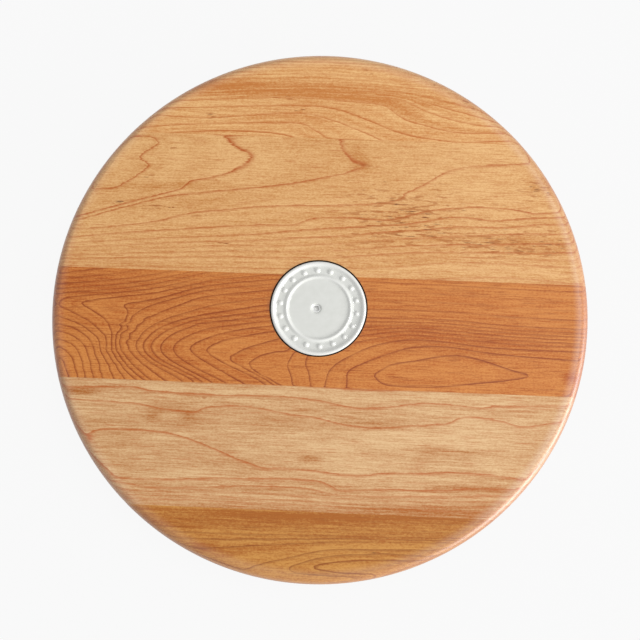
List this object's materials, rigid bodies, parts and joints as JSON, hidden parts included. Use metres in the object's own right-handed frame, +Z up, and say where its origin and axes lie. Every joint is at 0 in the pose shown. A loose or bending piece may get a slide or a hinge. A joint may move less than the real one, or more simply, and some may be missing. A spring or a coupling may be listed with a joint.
{
  "type": "lazy susan turntable",
  "caption": "Round wooden serving turntable on a caged ball bearing and a smaller footed base, with a glazed ceramic plate let into the middle that takes a small peg.",
  "frame": {"origin": "on the spin axis, on the surface that the feet stand on", "axes": "+Z up along the spin axis, +X along the staves of the wooden top, +Y towards its back"},
  "size_m": [0.457, 0.457, 0.051],
  "materials": {
    "board_stave_warm": "oiled maple, warm stave",
    "board_stave_light": "oiled maple, light stave",
    "board_stave_brown": "oiled maple, reddish brown stave",
    "board_stave_pale": "oiled maple, pale stave",
    "board_stave_amber": "oiled maple, amber stave",
    "glaze": "white gloss glaze",
    "silicone": "white silicone, satin",
    "bearing_aluminium": "turned, satin",
    "screw_steel": "zinc plated",
    "ball_steel": "polished steel",
    "black_steel": "black oxide",
    "cage_nylon": "natural nylon",
    "base_wood": "oiled maple",
    "foot_rubber": "black moulded rubber"
  },
  "bodies": {
    "base": {"base_stave_1": "base_wood", "base_stave_2": "base_wood", "base_stave_3": "base_wood", "foot_1": "foot_rubber", "foot_2": "foot_rubber", "foot_3": "foot_rubber", "foot_4": "foot_rubber", "foot_5": "foot_rubber", "foot_6": "foot_rubber", "foot_washers": "screw_steel", "foot_screws": "screw_steel", "bearing_outer_ring": "bearing_aluminium", "outer_ring_screws": "screw_steel", "loading_plug": "black_steel"},
    "turntable": {"board_stave_1": "board_stave_warm", "board_stave_2": "board_stave_light", "board_stave_3": "board_stave_brown", "board_stave_4": "board_stave_pale", "board_stave_5": "board_stave_amber", "insert_plate": "glaze", "insert_pads": "silicone", "peg_socket": "silicone", "bearing_inner_ring": "bearing_aluminium", "inner_ring_screws": "screw_steel"},
    "cage": {"ball_cage": "cage_nylon", "bearing_balls": "ball_steel"}
  },
  "joints": [
    {"name": "board_spin", "type": "hinge", "parent": "base", "child": "turntable", "pos_m": [0, 0, 0.0266], "axis": [0, 0, 1], "continuous": true},
    {"name": "cage_spin", "type": "hinge", "parent": "base", "child": "cage", "pos_m": [0, 0, 0.0266], "axis": [0, 0, 1], "continuous": true}
  ],
  "couplings": [
    {"joint": "cage_spin", "follows": "board_spin", "ratio": 0.5}
  ]
}
